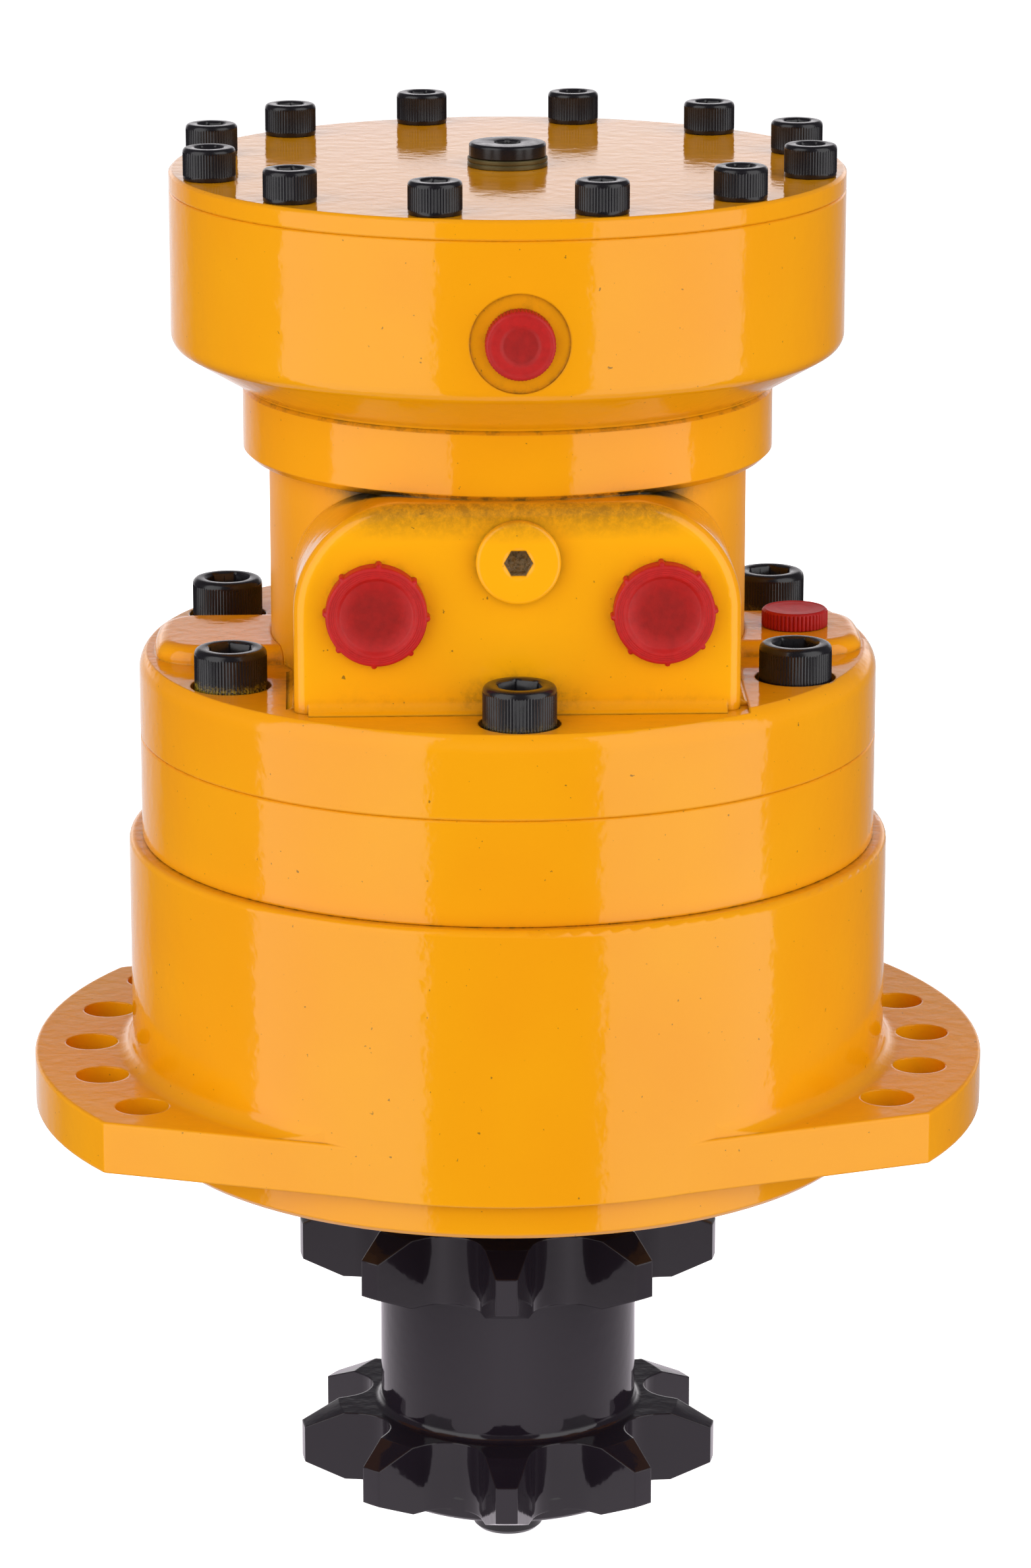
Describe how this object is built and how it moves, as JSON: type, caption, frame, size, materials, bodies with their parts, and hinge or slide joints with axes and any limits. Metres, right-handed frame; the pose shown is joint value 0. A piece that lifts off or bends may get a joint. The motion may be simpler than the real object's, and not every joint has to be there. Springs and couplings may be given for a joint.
{
  "type": "hydraulic drive motor",
  "caption": "Radial-piston hydraulic drive motor with a multi-disc brake on top, a two-eared mounting flange and a double chain sprocket on its shaft.",
  "frame": {"origin": "centre of the mounting face, on the shaft axis", "axes": "+Z along the shaft axis towards the brake, -Y towards the port face, +X through the drain port side ear"},
  "size_m": [0.244, 0.1936, 0.3699],
  "materials": {
    "yellow_paint": "gloss enamel over cast iron",
    "black_paint": "gloss black enamel over steel",
    "black_oxide_steel": "black oxide, oiled, knurled heads",
    "machined_steel": "ground and turned steel",
    "bearing_steel": "ground and polished",
    "cast_iron": "machined cast iron",
    "spring_steel": "blued spring steel",
    "friction_lining": "sintered lining on a steel plate",
    "nitrile_rubber": "moulded seal",
    "bonded_washer": "zinc plated ring with a rubber lip",
    "red_plastic": "soft moulded cap, slightly translucent"
  },
  "bodies": {
    "housing": {"bearing_housing": "yellow_paint", "shaft_seal": "nitrile_rubber", "front_bearing_cup": "bearing_steel", "rear_bearing_cup": "bearing_steel", "cam_ring": "yellow_paint", "cam_ring_o_rings": "nitrile_rubber", "locating_pins": "machined_steel", "valving_cover": "yellow_paint", "valving_cover_neck": "yellow_paint", "main_screws": "black_oxide_steel", "distributor": "cast_iron", "distributor_seals": "nitrile_rubber", "distributor_springs": "spring_steel", "brake_housing": "yellow_paint", "brake_housing_bolts": "black_oxide_steel", "brake_o_rings": "nitrile_rubber", "brake_steel_discs": "machined_steel", "brake_spring": "spring_steel", "brake_cover": "yellow_paint", "brake_cover_screws": "black_oxide_steel", "brake_release_plug": "black_oxide_steel", "brake_release_plug_seal": "bonded_washer", "flushing_plug": "yellow_paint", "flushing_plug_seal": "nitrile_rubber"},
    "shaft": {"output_shaft": "machined_steel", "front_bearing_cone": "bearing_steel", "rear_bearing_cone": "bearing_steel", "bearing_lock_ring": "machined_steel", "cylinder_block": "cast_iron", "brake_shaft": "machined_steel", "brake_friction_discs": "friction_lining", "double_sprocket": "black_paint", "sprocket_washer": "black_paint", "sprocket_bolt": "black_oxide_steel"},
    "front_rollers": {"front_bearing_rollers": "bearing_steel", "front_bearing_cage": "bearing_steel"},
    "rear_rollers": {"rear_bearing_rollers": "bearing_steel", "rear_bearing_cage": "bearing_steel"},
    "brake_release_piston": {"brake_piston": "machined_steel", "brake_piston_seals": "nitrile_rubber"},
    "piston_1_body": {"piston_1": "machined_steel"},
    "roller_1_body": {"piston_roller_1": "bearing_steel"},
    "piston_2_body": {"piston_2": "machined_steel"},
    "roller_2_body": {"piston_roller_2": "bearing_steel"},
    "piston_3_body": {"piston_3": "machined_steel"},
    "roller_3_body": {"piston_roller_3": "bearing_steel"},
    "piston_4_body": {"piston_4": "machined_steel"},
    "roller_4_body": {"piston_roller_4": "bearing_steel"},
    "piston_5_body": {"piston_5": "machined_steel"},
    "roller_5_body": {"piston_roller_5": "bearing_steel"},
    "piston_6_body": {"piston_6": "machined_steel"},
    "roller_6_body": {"piston_roller_6": "bearing_steel"},
    "piston_7_body": {"piston_7": "machined_steel"},
    "roller_7_body": {"piston_roller_7": "bearing_steel"},
    "piston_8_body": {"piston_8": "machined_steel"},
    "roller_8_body": {"piston_roller_8": "bearing_steel"},
    "port_cap_a_body": {"port_cap_a": "red_plastic"},
    "port_cap_b_body": {"port_cap_b": "red_plastic"},
    "brake_port_cap_body": {"brake_port_cap": "red_plastic"},
    "drain_port_cap_body": {"drain_port_cap": "red_plastic"}
  },
  "joints": [
    {"name": "shaft_spin", "type": "hinge", "parent": "housing", "child": "shaft", "pos_m": [0, 0, 0], "axis": [0, 0, 1], "continuous": true},
    {"name": "front_rollers_spin", "type": "hinge", "parent": "housing", "child": "front_rollers", "pos_m": [0, 0, 0.0165], "axis": [0, 0, 1], "continuous": true},
    {"name": "rear_rollers_spin", "type": "hinge", "parent": "housing", "child": "rear_rollers", "pos_m": [0, 0, 0.0455], "axis": [0, 0, 1], "continuous": true},
    {"name": "brake_piston_lift", "type": "slide", "parent": "housing", "child": "brake_release_piston", "axis": [0, 0, 1], "range_m": [0, 0.0016], "stiffness_N_per_m": 20000, "springref_m": -0.002, "deforming": ["brake_spring"]},
    {"name": "piston_1_stroke", "type": "slide", "parent": "shaft", "child": "piston_1_body", "axis": [0.0872, -0.9962, 0], "range_m": [0, 0.0007]},
    {"name": "roller_1_spin", "type": "hinge", "parent": "piston_1_body", "child": "roller_1_body", "pos_m": [0.00488, -0.05579, 0.078], "axis": [0, 0, 1], "continuous": true},
    {"name": "piston_2_stroke", "type": "slide", "parent": "shaft", "child": "piston_2_body", "axis": [0.766, -0.6428, 0], "range_m": [0, 0.00255]},
    {"name": "roller_2_spin", "type": "hinge", "parent": "piston_2_body", "child": "roller_2_body", "pos_m": [0.0429, -0.036, 0.078], "axis": [0, 0, 1], "continuous": true},
    {"name": "piston_3_stroke", "type": "slide", "parent": "shaft", "child": "piston_3_body", "axis": [0.9962, 0.0872, 0], "range_m": [0, 0.00935]},
    {"name": "roller_3_spin", "type": "hinge", "parent": "piston_3_body", "child": "roller_3_body", "pos_m": [0.05579, 0.00488, 0.078], "axis": [0, 0, 1], "continuous": true},
    {"name": "piston_4_stroke", "type": "slide", "parent": "shaft", "child": "piston_4_body", "axis": [0.6428, 0.766, 0], "range_m": [0, 0.0067]},
    {"name": "roller_4_spin", "type": "hinge", "parent": "piston_4_body", "child": "roller_4_body", "pos_m": [0.036, 0.0429, 0.078], "axis": [0, 0, 1], "continuous": true},
    {"name": "piston_5_stroke", "type": "slide", "parent": "shaft", "child": "piston_5_body", "axis": [-0.0872, 0.9962, 0], "range_m": [0, 0.0007]},
    {"name": "roller_5_spin", "type": "hinge", "parent": "piston_5_body", "child": "roller_5_body", "pos_m": [-0.00488, 0.05579, 0.078], "axis": [0, 0, 1], "continuous": true},
    {"name": "piston_6_stroke", "type": "slide", "parent": "shaft", "child": "piston_6_body", "axis": [-0.766, 0.6428, 0], "range_m": [0, 0.00255]},
    {"name": "roller_6_spin", "type": "hinge", "parent": "piston_6_body", "child": "roller_6_body", "pos_m": [-0.0429, 0.036, 0.078], "axis": [0, 0, 1], "continuous": true},
    {"name": "piston_7_stroke", "type": "slide", "parent": "shaft", "child": "piston_7_body", "axis": [-0.9962, -0.0872, 0], "range_m": [0, 0.00935]},
    {"name": "roller_7_spin", "type": "hinge", "parent": "piston_7_body", "child": "roller_7_body", "pos_m": [-0.05579, -0.00488, 0.078], "axis": [0, 0, 1], "continuous": true},
    {"name": "piston_8_stroke", "type": "slide", "parent": "shaft", "child": "piston_8_body", "axis": [-0.6428, -0.766, 0], "range_m": [0, 0.0067]},
    {"name": "roller_8_spin", "type": "hinge", "parent": "piston_8_body", "child": "roller_8_body", "pos_m": [-0.036, -0.0429, 0.078], "axis": [0, 0, 1], "continuous": true},
    {"name": "port_cap_a_pull", "type": "slide", "parent": "housing", "child": "port_cap_a_body", "axis": [0, -1, 0], "range_m": [0, 0.06]},
    {"name": "port_cap_b_pull", "type": "slide", "parent": "housing", "child": "port_cap_b_body", "axis": [0, -1, 0], "range_m": [0, 0.06]},
    {"name": "brake_port_cap_pull", "type": "slide", "parent": "housing", "child": "brake_port_cap_body", "axis": [0, -1, 0], "range_m": [0, 0.06]},
    {"name": "drain_port_cap_pull", "type": "slide", "parent": "housing", "child": "drain_port_cap_body", "axis": [0, 0, 1], "range_m": [0, 0.038]}
  ],
  "couplings": [
    {"joint": "front_rollers_spin", "follows": "shaft_spin", "ratio": 0.447},
    {"joint": "rear_rollers_spin", "follows": "shaft_spin", "ratio": 0.4434}
  ]
}
